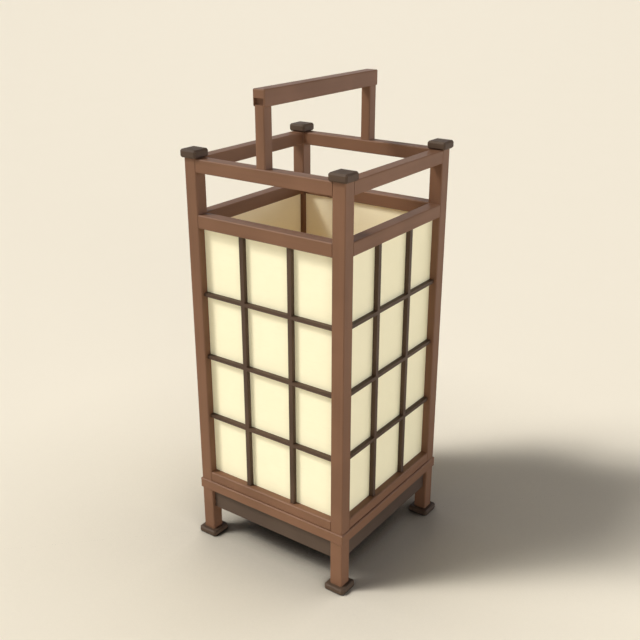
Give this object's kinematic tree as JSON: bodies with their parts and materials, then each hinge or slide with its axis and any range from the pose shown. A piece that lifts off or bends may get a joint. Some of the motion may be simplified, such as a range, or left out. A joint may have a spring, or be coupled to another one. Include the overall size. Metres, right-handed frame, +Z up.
{
  "type": "andon floor lamp",
  "caption": "Square andon floor lamp: wooden lantern frame with washi panels behind a dark lattice, on a short legged stand, with a fixed carrying handle and a bulb on a screw lampholder.",
  "frame": {"origin": "on the floor at the middle of the four feet", "axes": "+Z up to the handle; the handle's crossbar runs along Y, so the +X and -X sides are the ones beside the handle"},
  "size_m": [0.296, 0.296, 0.7494],
  "materials": {
    "frame_wood": "satin oiled brown hardwood",
    "dark_wood": "satin dark-stained hardwood",
    "washi": "warm cream washi laminated on clear sheet",
    "board_ply": "plain sanded plywood",
    "steel": "zinc plated",
    "black_plastic": "matte black",
    "phenolic": "dark moulded phenolic",
    "ceramic": "glazed ceramic",
    "brass": "plain brass",
    "nickel": "nickel plated",
    "bulb_plastic": "white moulded",
    "opal": "frosted opal diffuser"
  },
  "bodies": {
    "lamp_frame": {"apron_back": "dark_wood", "apron_front": "dark_wood", "apron_left": "dark_wood", "apron_right": "dark_wood", "base_board": "board_ply", "base_frame_back": "frame_wood", "base_frame_front": "frame_wood", "base_frame_left": "frame_wood", "base_frame_right": "frame_wood", "board_screws": "steel", "contact_block": "ceramic", "cord_bush": "black_plastic", "corner_post_back_left": "frame_wood", "corner_post_back_right": "frame_wood", "corner_post_front_left": "frame_wood", "corner_post_front_right": "frame_wood", "foot_back_left": "dark_wood", "foot_back_right": "dark_wood", "foot_front_left": "dark_wood", "foot_front_right": "dark_wood", "handle_crossbar": "frame_wood", "handle_post_back": "frame_wood", "handle_post_front": "frame_wood", "lampholder_cup": "phenolic", "lampholder_sleeve": "phenolic", "lampholder_stem": "steel", "lattice_back": "dark_wood", "lattice_front": "dark_wood", "lattice_left": "dark_wood", "lattice_right": "dark_wood", "leg_back_left": "frame_wood", "leg_back_right": "frame_wood", "leg_front_left": "frame_wood", "leg_front_right": "frame_wood", "lower_rail_back": "frame_wood", "lower_rail_front": "frame_wood", "lower_rail_left": "frame_wood", "lower_rail_right": "frame_wood", "middle_contact": "brass", "paper_back": "washi", "paper_front": "washi", "paper_left": "washi", "paper_right": "washi", "post_cap_back_left": "dark_wood", "post_cap_back_right": "dark_wood", "post_cap_front_left": "dark_wood", "post_cap_front_right": "dark_wood", "screw_shell": "brass", "stem_nuts": "steel", "top_rail_back": "frame_wood", "top_rail_front": "frame_wood", "top_rail_left": "frame_wood", "top_rail_right": "frame_wood", "upper_rail_back": "frame_wood", "upper_rail_front": "frame_wood", "upper_rail_left": "frame_wood", "upper_rail_right": "frame_wood"},
    "bulb": {"bulb_cap": "nickel", "bulb_body": "bulb_plastic", "bulb_globe": "opal"}
  },
  "joints": [
    {"name": "bulb_lift", "type": "slide", "parent": "lamp_frame", "child": "bulb", "axis": [0, 0, 1], "range_m": [0, 0.03]}
  ]
}
